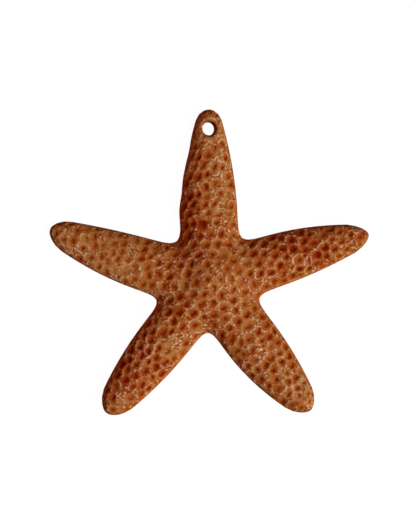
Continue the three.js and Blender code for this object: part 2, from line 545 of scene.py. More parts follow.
@dataclass
class DimpleLayout:
    """Places the dimples: staggered rows along the arms, settled together over the disc."""

    anatomy: Anatomy
    pitch: float = 5.3 * MM
    row_share: float = math.sin(math.radians(60))
    jitter: float = 0.6 * MM
    disc_radius: float = 27 * MM
    tip_gap: float = 3.6 * MM
    narrowest_row: float = 1.5 * MM
    flank_turn: float = 1.1
    hole_gap: float = 7.4 * MM
    crowd_share: float = 0.66
    filler_tries: int = 400
    filler_reach: float = 0.75
    filler_share: float = 0.9
    settle_rounds: int = 24
    settle_push: float = 0.35
    settle_band: Band = (0.8, 1.0)
    above: float = 0.1
    tip_shrink: float = 0.22
    tip_band: Band = (0.55, 1.0)
    sizes: Band = (0.76, 1.15)
    radius_share: float = 0.62
    depths: Band = (0.5 * MM, 0.92 * MM)
    squeezes: Band = (0.1, 1.0)
    blot_strengths: Band = (0.2, 1.0)
    # Heading of the dimples' shaded lower-right walls, where each blot paints shade; the ovals turn
    # about it too.
    painted_shade_heading: float = math.radians(-35)
    heading_spread: float = 0.5
    pore_spread: float = 0.35 * MM
    pore_radii: tuple[float, ...] = (0.0, 0.0, 0.26, 0.32, 0.38, 0.44, 0.5)
    draws: random.Random = field(default_factory=lambda: random.Random(SEED))

    def _arm_rows(self, arm: Arm) -> list[np.ndarray]:
        """Lays the staggered rows of one arm.

        Args:
            arm: The arm.

        Returns:
            The dimples' places in plan, from the middle of the disc.
        """
        places = []
        row_pitch = self.pitch * self.row_share
        rows = int((arm.reach - self.tip_gap) / row_pitch)
        start = arm.reach - self.tip_gap - rows * row_pitch
        for row in range(rows + 1):
            station = start + row * row_pitch
            middle, half = self.anatomy.section(arm, station)
            if half < self.narrowest_row:
                continue
            columns = int(half * self.flank_turn / self.pitch) + 1
            for column in range(-columns, columns + 1):
                girth = (column + 0.5 * (row % 2)) * self.pitch
                girth += self.draws.gauss(0, self.jitter)
                if abs(girth) > half * self.flank_turn:
                    continue
                aside = middle + half * math.sin(girth / half)
                along = station + self.draws.gauss(0, self.jitter)
                places.append(arm.along * along + arm.left * aside)
        return places

    def _clear(self, place: np.ndarray, others: list[np.ndarray], share: float) -> bool:
        """Whether a place is farther than a share of the pitch from all others."""
        return all(np.linalg.norm(place - other) >= self.pitch * share for other in others)

    def _settled(self, places: np.ndarray) -> np.ndarray:
        """Evens out the dimples of the disc, where the arms' rows run into each other.

        Args:
            places: Places in plan, from the middle of the disc.

        Returns:
            The places, with none much nearer than the pitch to the next.
        """
        kept: list[np.ndarray] = []
        for place in places:
            if self._clear(place, kept, self.crowd_share):
                kept.append(place)
        for _ in range(self.filler_tries):
            angle = self.draws.uniform(0, math.tau)
            radius = self.disc_radius * math.sqrt(self.draws.random()) * self.filler_reach
            place = towards(angle)[:2] * radius
            if self._clear(place, kept, self.filler_share):
                kept.append(place)
        spots = np.array(kept)
        for _ in range(self.settle_rounds):
            apart = spots[:, None, :] - spots[None, :, :]
            distance = np.linalg.norm(apart, axis=2) + np.eye(len(spots))
            push = np.clip(self.pitch - distance, 0, None)[:, :, None] * unit(apart)
            outward = np.linalg.norm(spots, axis=1) / self.disc_radius
            freedom = 1 - soft_step(*self.settle_band, outward)
            spots = spots + push.sum(axis=1) * self.settle_push * freedom[:, None]
        return spots

    def places(self) -> np.ndarray:
        """Lays out every large dimple.

        Returns:
            Their places in plan, from the middle of the disc.
        """
        found = []
        for number, arm in enumerate(self.anatomy.arms):
            rows = np.array(self._arm_rows(arm))
            mine = self.anatomy.nearest_arm(rows) == number
            found.extend(rows[mine])
        found.sort(key=lambda place: -float(np.linalg.norm(place)))
        spots = self._settled(np.array(found))
        gap = np.linalg.norm(spots + self.anatomy.centre - self.anatomy.hole, axis=1)
        return spots[gap > self.hole_gap]

    def dimples(self, skin: BVHTree) -> list[Dimple]:
        """Gives each place its size and its spot on the skin.

        Args:
            skin: The smooth skin, for heights.

        Returns:
            The large dimples.
        """
        made = []
        for place in self.places():
            where = place + self.anatomy.centre
            hit = skin.ray_cast(Vector((*where, self.above)), Vector((0, 0, -1)))[0]
            if hit is None:
                continue
            outward = float(np.linalg.norm(place)) / self.anatomy.arms[0].reach
            taper = 1 - self.tip_shrink * soft_step(*self.tip_band, outward)
            size = self.draws.uniform(*self.sizes) * taper
            made.append(Dimple(
                kind=Mark.DIMPLE,
                place=hit,
                radius=self.pitch * self.radius_share * size,
                depth=self.draws.uniform(*self.depths) * taper,
                squeeze=self.draws.uniform(*self.squeezes),
                turn=self.draws.gauss(self.painted_shade_heading, self.heading_spread),
                tone=self.draws.random(),
                stain_and_painted_shade=self.draws.uniform(*self.blot_strengths),
                painted_shade_heading=self.draws.gauss(self.painted_shade_heading, self.heading_spread),
                pore=(self.draws.gauss(0, self.pore_spread), self.draws.gauss(0, self.pore_spread)),
                pore_radius=self.draws.choice(self.pore_radii) * MM,
            ))
        return made


# ---------------------------------------------------------------- the cord hole and the nicks


@dataclass(frozen=True)
class CordHole:
    """The wear of the drilled hole: a lip round it, a rounded rim and a bore that leans."""

    place: np.ndarray
    radius: float = 3.1 * MM
    least_round: float = 0.8 * MM
    most_round: float = 3.0 * MM
    rub_heading: float = math.radians(-15)
    steepest: float = 0.96
    drop_share: float = 0.9
    upper_band: Band = (3.6 * MM, 7.6 * MM)
    lower_band: Band = (6.5 * MM, 1.5 * MM)
    side_band: Band = (-0.2, 0.9)
    left_lean: float = 0.5 * MM
    right_lean: float = -0.2 * MM
    lean_band: Band = (5.6 * MM, 3.6 * MM)
    smooth_band: Band = (6.5 * MM, 4.5 * MM)
    smooth_pull: float = 0.5
    smooth_rounds: int = 6
    lip_radius: float = 4.9 * MM
    lip_width: float = 1.1 * MM
    bore_band: Band = (4.6 * MM, 3.4 * MM)
    shade_band: Band = (-0.9, 0.7)
    least_shade: float = 0.35

    def gap(self, points: np.ndarray) -> np.ndarray:
        """The distance of each point from the middle of the hole, in plan."""
        return np.linalg.norm(points[:, :2] - self.place, axis=1)

    def lip(self, points: np.ndarray) -> np.ndarray:
        """How much each point belongs to the lip round the hole."""
        return np.exp(-(((self.gap(points) - self.lip_radius) / self.lip_width) ** 2))

    def bore(self, points: np.ndarray) -> np.ndarray:
        """Finds the wall of the hole, where the material paints shade, darkest on its shaded right
        side.

        Args:
            points: The skin's points.

        Returns:
            How much painted shade the wall has at each point, 0 off the wall.
        """
        gap = self.gap(points)
        rightward = (points[:, 0] - self.place[0]) / np.maximum(gap, MM)
        shade = self.least_shade + (1 - self.least_shade) * soft_step(*self.shade_band, rightward)
        return soft_step(*self.bore_band, gap) * shade

    def wear(self, points: np.ndarray, average: Neighbours) -> None:
        """Rounds the upper rim, most on the side that the cord has rubbed, and leans the wall.

        Args:
            points: The skin's points, which are moved.
            average: The averager of the skin's mesh.
        """
        gap = self.gap(points)
        heading = unit(points[:, :2] - self.place)
        rubbed = 0.5 + 0.5 * heading @ towards(self.rub_heading)[:2]
        round_off = self.least_round + (self.most_round - self.least_round) * rubbed
        inward = np.clip((self.radius + round_off - gap) / round_off, 0, 1) * self.steepest
        drop = round_off * (1 - np.sqrt(1 - inward**2)) * self.drop_share
        lean = self.left_lean * soft_step(*self.side_band, -heading[:, 0])
        lean += self.right_lean * soft_step(*self.side_band, heading[:, 0])
        lean *= soft_step(*self.lower_band, points[:, 2])
        points[:, 2] -= drop * soft_step(*self.upper_band, points[:, 2])
        points[:, 0] += lean * soft_step(*self.lean_band, gap)
        soft = soft_step(*self.smooth_band, gap)[:, None] * self.smooth_pull
        for _ in range(self.smooth_rounds):
            points += (average(points) - points) * soft


@dataclass
class NickLayout:
    """Scatters small hollows where there is room between the dimples."""

    hole: CordHole
    count: int = 620
    tries: int = 12_000
    least_upward: float = 0.35
    dimple_share: float = 0.72
    dimple_gap: float = 0.05 * MM
    nick_gap: float = 1.4 * MM
    hole_gap: float = 4.8 * MM
    radii: Band = (0.45 * MM, 0.95 * MM)
    depths: Band = (0.35, 0.75)
    squeezes: Band = (0.0, 1.6)
    blot_strengths: Band = (0.35, 1.0)
    draws: random.Random = field(default_factory=lambda: random.Random(SEED + 1))

    def nicks(self, mesh: bpy.types.Mesh, dimples: Sequence[Dimple]) -> list[Dimple]:
        """Scatters the nicks.

        Args:
            mesh: The smooth skin.
            dimples: The large dimples.

        Returns:
            The small hollows.
        """
        points = points_of(mesh)
        normals = normals_of(mesh)
        hole_gaps = self.hole.gap(points)
        centres = np.array([dimple.place for dimple in dimples])
        radii = np.array([dimple.radius for dimple in dimples])
        made: list[Dimple] = []
        taken: list[np.ndarray] = []
        for _ in range(self.tries):
            pick = self.draws.randrange(len(points))
            spot = points[pick]
            if normals[pick, 2] < self.least_upward or len(made) >= self.count:
                continue
            room = (np.linalg.norm(centres - spot, axis=1) - radii * self.dimple_share).min()
            near = any(np.linalg.norm(spot - other) < self.nick_gap for other in taken)
            if room < self.dimple_gap or near or hole_gaps[pick] < self.hole_gap:
                continue
            taken.append(spot)
            made.append(self._nick(spot))
        return made

    def _nick(self, spot: np.ndarray) -> Dimple:
        """Draws one nick.

        Args:
            spot: Its place.

        Returns:
            The nick, which has no pore.
        """
        radius = self.draws.uniform(*self.radii)
        return Dimple(
            kind=Mark.NICK,
            place=Vector(spot),
            radius=radius,
            depth=radius * self.draws.uniform(*self.depths),
            squeeze=self.draws.uniform(*self.squeezes),
            turn=self.draws.uniform(0, math.pi),
            tone=self.draws.random(),
            stain_and_painted_shade=self.draws.uniform(*self.blot_strengths),
            painted_shade_heading=self.draws.uniform(0, math.tau),
            pore=(0.0, 0.0),
            pore_radius=0.0,
        )


# ---------------------------------------------------------------- the skin


@dataclass(frozen=True)
class Ripple:
    """A smooth seeded noise in space, made of a few dozen plane waves."""

    wavelength: float
    seed: int
    waves: int = 28
    stretches: Band = (0.7, 1.6)
    calm: float = 1.6

    def at(self, points: np.ndarray) -> np.ndarray:
        """Works out the noise.

        Args:
            points: Rows x, y, z.

        Returns:
            A number for each point, mostly between -1 and 1.
        """
        draws = np.random.default_rng(self.seed)
        heading = unit(draws.normal(size=(self.waves, 3)))
        stretch = draws.uniform(*self.stretches, self.waves)
        phase = draws.uniform(0, math.tau, self.waves)
        number = heading * (math.tau / self.wavelength * stretch)[:, None]
        total = np.cos(points @ number.T + phase).sum(axis=1)
        return total / math.sqrt(self.waves / 2) / self.calm


class Vicinity:
    """Finds the points near a place."""

    def __init__(self, points: np.ndarray) -> None:
        """Sorts the points along x.

        Args:
            points: Rows x, y, z.
        """
        self.order = points[:, 0].argsort()
        self.sorted = points[self.order]

    def within(self, place: np.ndarray, reach: float) -> np.ndarray:
        """Finds the points in a cube.

        Args:
            place: The middle of the cube.
            reach: Half its side.

        Returns:
            The numbers of the points.
        """
        first, last = np.searchsorted(self.sorted[:, 0], (place[0] - reach, place[0] + reach))
        inside = np.abs(self.sorted[first:last] - place).max(axis=1) < reach
        return self.order[first:last][inside]


class Marks:
    """What the hollows leave at each point of the skin.

    It is how deep the point is sunk, its staining and painted shade, the tone of its hollow, and how
    far it is from the middle of the nearest dimple and pore, in radii of these.
    """

    reach_share: float = 1.5
    warp: Ripple = Ripple(3.1 * MM, 7)
    warp_size: float = 0.13
    bowl_power: float = 1.5
    throat: float = 0.48
    throat_share: float = 0.22
    blot_offset: float = 0.33
    blot_spread: float = 0.25
    blot_band: Band = (-0.5, 0.8)
    blot_back: float = 0.2
    blot_limit: float = 0.8
    pore_reach: float = 1.6 * MM
    plain_tone: float = 0.5
    far_rim: float = 2.0
    far_pore: float = 9.0
    evening: float = 0.4
    crest_rounds: int = 4
    crest_pull: float = 0.6
    crest_height: float = 0.06 * MM

    def __init__(self, points: np.ndarray, strength: np.ndarray) -> None:
        """Starts with an unmarked skin.

        Args:
            points: The skin's points.
            strength: The share of their depth, staining and painted shade that hollows have at each
                point.
        """
        count = len(points)
        self.points = points
        self.strength = strength
        self.vicinity = Vicinity(points)
        self.warped = 1 + np.clip(self.warp.at(points), -1, 1) * self.warp_size
        self.sunk = np.zeros(count)
        self.stain_and_painted_shade = np.zeros(count)
        self.tone = np.full(count, self.plain_tone)
        self.rim_gap = np.full(count, self.far_rim)
        self.rim_side = np.zeros(count)
        self.pore_gap = np.full(count, self.far_pore)
        self.pore_offset = np.zeros((count, 3))

    def press(self, dimple: Dimple) -> None:
        """Presses one hollow into the skin.

        Args:
            dimple: The hollow.
        """
        centre = np.array(dimple.place)
        close = self.vicinity.within(centre, dimple.radius * self.reach_share)
        near = self.points[close] - centre
        stretch = (near**2).sum(axis=1) + dimple.squeeze * (near @ towards(dimple.turn)) ** 2
        share = np.sqrt(stretch) / dimple.radius * self.warped[close]
        facing = unit(near) @ towards(dimple.painted_shade_heading)
        bowl = np.clip(1 - share**self.bowl_power, 0, 1) * (1 - self.throat_share)
        throat = self.throat_share * np.exp(-((share / self.throat) ** 2))
        depth = dimple.depth * (bowl + throat) * self.strength[close]
        deeper = depth > self.sunk[close]
        self.sunk[close[deeper]] = depth[deeper]
        self.tone[close[deeper]] = dimple.tone
        # The blot is painted shade: in a dimple on the shaded lower-right wall toward its heading,
        # in a nick on one side, over weaker staining all round.
        side = self.blot_back + (1 - self.blot_back) * soft_step(*self.blot_band, facing)
        spread = (share - self.blot_offset) / self.blot_spread
        blot = dimple.stain_and_painted_shade * np.exp(-(spread**2)) * side * self.strength[close]
        self.stain_and_painted_shade[close] = np.maximum(self.stain_and_painted_shade[close], blot)
        if dimple.kind is Mark.DIMPLE:
            nearest = share < self.rim_gap[close]
            self.rim_gap[close[nearest]] = share[nearest]
            self.rim_side[close[nearest]] = -facing[nearest]
        if dimple.pore_radius > 0:
            shifted = near - np.array([*dimple.pore, 0])
            gap = np.linalg.norm(shifted, axis=1)
            inside = gap < self.pore_reach
            self.pore_offset[close[inside]] = shifted[inside] / dimple.pore_radius
            self.pore_gap[close[inside]] = gap[inside] / dimple.pore_radius

    def soften(self, average: Neighbours) -> None:
        """Evens out the hollows and their staining and painted shade a little.

        Args:
            average: The averager of the skin's mesh.
        """
        limited = self.blot_limit * (1 - np.exp(-self.stain_and_painted_shade / self.blot_limit))
        self.stain_and_painted_shade = (limited + average(limited)) / 2
        self.sunk = self.sunk * (1 - self.evening) + average(self.sunk) * self.evening

    def crest(self, average: Neighbours) -> np.ndarray:
        """Finds the ridges.

        Args:
            average: The averager of the skin's mesh.

        Returns:
            How far each point stands above its surroundings, from -1 to 1.
        """
        around = self.sunk
        for _ in range(self.crest_rounds):
            around = around * (1 - self.crest_pull) + average(around) * self.crest_pull
        return np.clip((around - self.sunk) / self.crest_height, -1, 1)


@dataclass
class Skin:
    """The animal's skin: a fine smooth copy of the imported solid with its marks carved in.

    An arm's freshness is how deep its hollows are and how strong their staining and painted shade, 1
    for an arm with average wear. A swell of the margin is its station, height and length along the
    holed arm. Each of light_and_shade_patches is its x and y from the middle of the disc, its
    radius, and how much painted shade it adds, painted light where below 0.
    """

    solid: bpy.types.Object
    anatomy: Anatomy
    hole: CordHole
    weld_gap: float = 0.002 * MM
    cell: float = 0.385 * MM
    smooth_rounds: int = 40
    smooth_pulls: tuple[float, float] = (0.6, -0.62)
    triangle_limit: int = 194_000
    below_tilt: float = -0.1
    hole_margin: float = 8.0 * MM
    upward_band: Band = (0.22, 0.55)
    freshness: Ripple = Ripple(30 * MM, 11)
    freshness_size: float = 0.2
    arm_freshness: tuple[float, ...] = (1.0, 0.75, 1.1, 1.0, 1.1)
    arm_band: Band = (12 * MM, 40 * MM)
    undulation: Ripple = Ripple(17 * MM, 3)
    undulation_height: float = 0.16 * MM
    grain: Ripple = Ripple(1.5 * MM, 4)
    grain_height: float = 0.07 * MM
    lip_height: float = 0.12 * MM
    hollow_depth: float = 0.8 * MM
    pale_share: float = 4.0
    swells: tuple[tuple[float, float, float], ...] = (
        (34 * MM, 0.76 * MM, 6 * MM), (48 * MM, 0.27 * MM, 5 * MM), (62 * MM, -0.4 * MM, 5 * MM),
    )
    swell_band: Band = (1 * MM, 8 * MM)
    # Broad painted shade on shaded flanks and webs where above 0, and painted light where below 0.
    light_and_shade_patches: tuple[tuple[float, float, float, float], ...] = (
        (-12 * MM, 21 * MM, 10 * MM, 0.16), (-8 * MM, 42 * MM, 12 * MM, 0.12),
        (6 * MM, 42 * MM, 13 * MM, -0.12), (-1 * MM, 71 * MM, 8 * MM, -0.14),
        (44 * MM, 20 * MM, 14 * MM, 0.18), (-45 * MM, 18 * MM, 18 * MM, -0.1),
        (-38 * MM, -42 * MM, 12 * MM, 0.12), (46 * MM, -45 * MM, 12 * MM, -0.1),
    )
    wrinkle_girth: float = 9 * MM
    wrinkle_stretch: float = 0.45
    wrinkle_squeeze: float = 2.1
    groove_band: Band = (2.7 * MM, 1.7 * MM)
    mouth_band: Band = (5.0 * MM, 4.2 * MM)
    groove_foot: Band = (0.3 * MM, 1.2 * MM)
    groove_roof: Band = (6.0 * MM, 5.0 * MM)
    groove_tilt: float = 0.3

    def build(self) -> bpy.types.Object:
        """Makes the skin.

        Returns:
            The finished object, with the attributes that its material reads.
        """
        skin = self._fine_copy()
        self._relax(skin.data)
        self._thin_underside(skin)
        tree = BVHTree.FromObject(skin, bpy.context.evaluated_depsgraph_get())
        dimples = DimpleLayout(self.anatomy).dimples(tree)
        nicks = NickLayout(self.hole).nicks(skin.data, dimples)
        LOG.info("%d dimples and %d nicks", len(dimples), len(nicks))
        self._carve(skin.data, dimples + nicks)
        return skin

    def _fine_copy(self) -> bpy.types.Object:
        """Rebuilds the solid as an even mesh of small cells.

        Returns:
            The new object.
        """
        work = bmesh.new()
        work.from_mesh(self.solid.data)
        bmesh.ops.remove_doubles(work, verts=work.verts, dist=self.weld_gap)
        mesh = bpy.data.meshes.new("skin_source")
        work.to_mesh(mesh)
        work.free()
        source = linked("skin_source", mesh)
        remesh = source.modifiers.new("cells", "REMESH")
        remesh.mode = "VOXEL"
        remesh.voxel_size = self.cell
        remesh.use_smooth_shade = True
        fine = self._applied(source)
        fine.materials.clear()
        bpy.data.objects.remove(source)
        fine.name = "starfish_skin"
        return linked("starfish_skin", fine)

    @staticmethod
    def _applied(piece: bpy.types.Object) -> bpy.types.Mesh:
        """A new mesh: the piece's own with its modifiers applied."""
        graph = bpy.context.evaluated_depsgraph_get()
        return bpy.data.meshes.new_from_object(piece.evaluated_get(graph))

    def _relax(self, mesh: bpy.types.Mesh) -> None:
        """Smooths the solid's facets away without shrinking it.

        Args:
            mesh: The fine mesh.
        """
        points = points_of(mesh)
        average = Neighbours(mesh)
        for _ in range(self.smooth_rounds):
            for pull in self.smooth_pulls:
                points += (average(points) - points) * pull
        settle(mesh, points)

    def _thin_underside(self, skin: bpy.types.Object) -> None:
        """Collapses cells of the plainer underside until the skin is within its triangle limit.

        Args:
            skin: The smooth skin.
        """
        mesh = skin.data
        triangles = triangles_in(mesh)
        LOG.info("%d triangles before thinning", triangles)
        if triangles <= self.triangle_limit:
            return
        group = skin.vertex_groups.new(name="underside")
        below = normals_of(mesh)[:, 2] < self.below_tilt
        below &= self.hole.gap(points_of(mesh)) > self.hole_margin
        group.add(np.flatnonzero(below).tolist(), 1.0, "REPLACE")
        thinner = skin.modifiers.new("thinner", "DECIMATE")
        thinner.ratio = self.triangle_limit / triangles
        thinner.vertex_group = group.name
        thinned = self._applied(skin)
        skin.modifiers.clear()
        skin.vertex_groups.clear()
        skin.data = thinned
        bpy.data.meshes.remove(mesh)
        thinned.name = "starfish_skin"

    def _carve(self, mesh: bpy.types.Mesh, dimples: Sequence[Dimple]) -> None:
        """Sinks the hollows into the skin and stores what the material needs to know of them.

        Args:
            mesh: The smooth skin.
            dimples: Every hollow, large and small.
        """
        points = points_of(mesh)
        normals = normals_of(mesh)
        average = Neighbours(mesh)
        plan = points[:, :2] - self.anatomy.centre
        upward = soft_step(*self.upward_band, normals[:, 2])
        wear = 1 - np.array(self.arm_freshness)[self.anatomy.nearest_arm(plan)]
        wear *= soft_step(*self.arm_band, np.linalg.norm(plan, axis=1))
        fresh = 1 + self.freshness.at(points) * self.freshness_size - wear
        marks = Marks(points, upward * fresh)
        for dimple in dimples:
            marks.press(dimple)
        marks.soften(average)
        lip = self.hole.lip(points)
        bore = self.hole.bore(points)
        rise = self.undulation.at(points) * self.undulation_height
        rise += self.grain.at(points) * self.grain_height
        rise += lip * self.lip_height
        points += normals * (rise * upward - marks.sunk)[:, None]
        points += self._swelling(points)
        self.hole.wear(points, average)
        settle(mesh, points)
        found = {
            "hollow": np.clip(marks.sunk / self.hollow_depth, 0, 1),
            "crest": marks.crest(average),
            "stain_and_painted_shade": marks.stain_and_painted_shade,
            "tone": marks.tone,
            "rim_gap": marks.rim_gap,
            "rim_side": marks.rim_side,
            "pore_gap": marks.pore_gap,
            "pore_offset": marks.pore_offset,
            "upward": upward,
            "slope": normals[:, 2],
            "lip": lip,
            "bore": bore,
            "pale": wear * self.pale_share,
            "flow": self._flow(points, normals),
            "patch": self._painted_light_and_shade(plan),
            "groove": self._grooves(plan, points[:, 2]) * (normals[:, 2] < self.groove_tilt),
        }
        for name, values in found.items():
            store(mesh, name, values)

    def _swelling(self, points: np.ndarray) -> np.ndarray:
        """The shifts that make the left margin of the holed arm wavy.

        Args:
            points: The skin's points.

        Returns:
            A shift for each point.
        """
        arm = self.anatomy.arms[0]
        plan = points[:, :2] - self.anatomy.centre
        leftward = soft_step(*self.swell_band, plan @ arm.left)
        leftward *= self.anatomy.nearest_arm(plan) == 0
        push = np.zeros(len(points))
        for station, height, length in self.swells:
            push += height * np.exp(-(((plan @ arm.along - station) / length) ** 2))
        return np.outer(push * leftward, np.array([*arm.left, 0]))

    def _flow(self, points: np.ndarray, normals: np.ndarray) -> np.ndarray:
        """Coordinates in which the margin's wrinkles run along the outline.

        Args:
            points: The skin's points.
            normals: Their normals before carving.

        Returns:
            x and y, drawn out, and the girth measured from the widest line.
        """
        girth = np.arcsin(np.clip(normals[:, 2], -1, 1)) * self.wrinkle_girth
        return np.column_stack((points[:, :2] * self.wrinkle_stretch, girth * self.wrinkle_squeeze))

    def _painted_light_and_shade(self, plan: np.ndarray) -> np.ndarray:
        """How much darker, with painted shade, and paler, with painted light, broad areas of the
        skin are.

        Args:
            plan: The skin's points in plan, from the middle of the disc.

        Returns:
            The painted shade of each point, below 0 where it is painted light.
        """
        total = np.zeros(len(plan))
        for x, y, radius, strength in self.light_and_shade_patches:
            gap = np.linalg.norm(plan - np.array([x, y]), axis=1)
            total += strength * np.exp(-((gap / radius) ** 2))
        return total

    def _grooves(self, plan: np.ndarray, heights: np.ndarray) -> np.ndarray:
        """How much each point belongs to a groove or to the mouth, where the material paints shade.

        Args:
            plan: The skin's points in plan, from the middle of the disc.
            heights: Their heights.

        Returns:
            A share from 0 to 1 for each point, on any side of the skin.
        """
        groove = soft_step(*self.groove_band, self.anatomy.aside(plan))
        mouth = soft_step(*self.mouth_band, np.linalg.norm(plan, axis=1))
        inside = soft_step(*self.groove_foot, heights) * soft_step(*self.groove_roof, heights)
        return np.maximum(groove, mouth) * inside


# ---------------------------------------------------------------- the underside's fringe


@dataclass
class GrooveFringe:
    """Spines along the edges of the grooves and round the mouth, and the dried tube feet inside."""

    anatomy: Anatomy
    level: float = 0.6 * MM
    first_station: float = 5.5 * MM
    end_gap: float = 5.0 * MM
    hole_gap: float = 8.0 * MM
    spine_pitch: float = 1.5 * MM
    spine_radius: float = 0.36 * MM
    spine_length: float = 1.5 * MM
    foot_pitch: float = 1.9 * MM
    foot_radius: float = 0.42 * MM
    foot_length: float = 1.1 * MM
    widest_groove: float = 3.4 * MM
    narrowest_groove: float = 0.45 * MM
    station_drift: float = 0.08 * MM
    spine_lengths: Band = (0.85, 1.1)
    spine_overlap: float = 0.2 * MM
    spine_sunk: float = 0.35 * MM
    spine_rise: float = 0.5 * MM
    spine_drop: float = 0.15 * MM
    foot_aside: float = 0.42
    foot_roof: Band = (1.1 * MM, 4.0 * MM)
    foot_floor: float = 0.4 * MM
    foot_sunk: float = 0.3 * MM
    jaw_level: float = 0.8 * MM
    jaw_reach: float = 6.0 * MM
    jaw_turns: tuple[float, ...] = (-0.4, -0.14, 0.14, 0.4)
    jaw_sunk: float = 0.4 * MM
    jaw_length: float = 1.7 * MM
    jaw_drop: float = 0.3 * MM
    peg_sides: int = 8
    peg_rings: int = 5
    draws: random.Random = field(default_factory=lambda: random.Random(SEED + 2))

    def build(self) -> bpy.types.Object:
        """Makes the fringe.

        Returns:
            One object of closed blunt pegs, each with its root sunk in the shell.
        """
        shape = bmesh.new()
        mesh = bpy.data.meshes.new("groove_fringe")
        for arm in self.anatomy.arms:
            row = bmesh.new()
            self._line_groove(row, arm)
            row.to_mesh(mesh)
            row.free()
            shape.from_mesh(mesh)
        self._ring_mouth(shape)
        shape.to_mesh(mesh)
        shape.free()
        mesh.shade_smooth()
        return linked("groove_fringe", mesh)

    def _peg(self, shape: bmesh.types.BMesh, root: Vector, tip: Vector, radius: float) -> None:
        """Adds one blunt peg.

        Args:
            shape: The mesh that it is added to.
            root: Its inner end.
            tip: Its free end.
            radius: Half its greatest thickness.
        """
        along = tip - root
        size = Matrix.Diagonal((radius, radius, along.length / 2, 1))
        turn = along.to_track_quat("Z", "Y").to_matrix().to_4x4()
        bmesh.ops.create_uvsphere(
            shape, u_segments=self.peg_sides, v_segments=self.peg_rings, radius=1.0,
            matrix=Matrix.Translation((root + tip) / 2) @ turn @ size,
        )

    def _wall(self, origin: Vector, heading: Vector) -> float | None:
        """Looks for the groove's wall.

        Args:
            origin: A point in the middle of the groove.
            heading: The direction to look in.

        Returns:
            The distance to the wall, or None outside a groove.
        """
        hit = self.anatomy.tree.ray_cast(origin, heading)[0]
        if hit is None:
            return None
        gap = (hit - origin).length
        return gap if self.narrowest_groove < gap < self.widest_groove else None

    def _line_groove(self, shape: bmesh.types.BMesh, arm: Arm) -> None:
        """Sets the spines and tube feet of one groove.

        Args:
            shape: The mesh that they are added to.
            arm: The arm.
        """
        last = arm.reach - self.end_gap
        for pitch, place in ((self.spine_pitch, self._spine), (self.foot_pitch, self._foot)):
            for row in range(int((last - self.first_station) / pitch)):
                station = self.first_station + row * pitch
                middle = self.anatomy.section(arm, station)[0]
                for side in (1, -1):
                    shifted = station + self.draws.gauss(0, self.station_drift)
                    plan = self.anatomy.centre + arm.along * shifted + arm.left * middle
                    if np.linalg.norm(plan - self.anatomy.hole) < self.hole_gap:
                        continue
                    place(shape, Vector((*plan, self.level)), Vector((*(arm.left * side), 0)))

    def _spine(self, shape: bmesh.types.BMesh, origin: Vector, heading: Vector) -> None:
        """Sets one spine that leans from the groove's wall over the groove.

        Args:
            shape: The mesh that it is added to.
            origin: A point in the middle of the groove.
            heading: The direction of the wall.
        """
        gap = self._wall(origin, heading)
        if gap is None:
            return
        length = min(self.spine_length, gap + self.spine_overlap)
        length *= self.draws.uniform(*self.spine_lengths)
        deep = gap + self.spine_sunk
        root = origin + heading * deep + Vector((0, 0, self.spine_rise))
        tip = origin + heading * (deep - length) - Vector((0, 0, self.spine_drop))
        self._peg(shape, root, tip, self.spine_radius)

    def _foot(self, shape: bmesh.types.BMesh, origin: Vector, heading: Vector) -> None:
        """Sets one tube foot that hangs from the groove's roof.

        Args:
            shape: The mesh that it is added to.
            origin: A point in the middle of the groove.
            heading: The direction of the wall on its side.
        """
        gap = self._wall(origin, heading)
        if gap is None:
            return
        below = origin + heading * gap * self.foot_aside
        roof = self.anatomy.tree.ray_cast(below, Vector((0, 0, 1)))[0]
        lowest, highest = self.foot_roof
        if roof is None or not lowest <= roof.z <= highest:
            return
        tip = Vector((below.x, below.y, max(self.foot_floor, roof.z - self.foot_length)))
        self._peg(shape, roof + Vector((0, 0, self.foot_sunk)), tip, self.foot_radius)

    def _ring_mouth(self, shape: bmesh.types.BMesh) -> None:
        """Sets the spines of the five jaws, which point into the mouth.

        Args:
            shape: The mesh that they are added to.
        """
        arms = self.anatomy.arms
        centre = Vector((*self.anatomy.centre, self.jaw_level))
        for number, arm in enumerate(arms):
            between = unit(arm.along + arms[(number + 1) % len(arms)].along)
            middle = math.atan2(between[1], between[0])
            for turn in self.jaw_turns:
                heading = Vector(towards(middle + turn))
                hit = self.anatomy.tree.ray_cast(centre, heading)[0]
                if hit is None or (hit - centre).length > self.jaw_reach:
                    continue
                root = hit + (heading + Vector((0, 0, 1))) * self.jaw_sunk
                tip = hit - heading * self.jaw_length - Vector((0, 0, self.jaw_drop))
                self._peg(shape, root, tip, self.foot_radius)


# ---------------------------------------------------------------- finishes


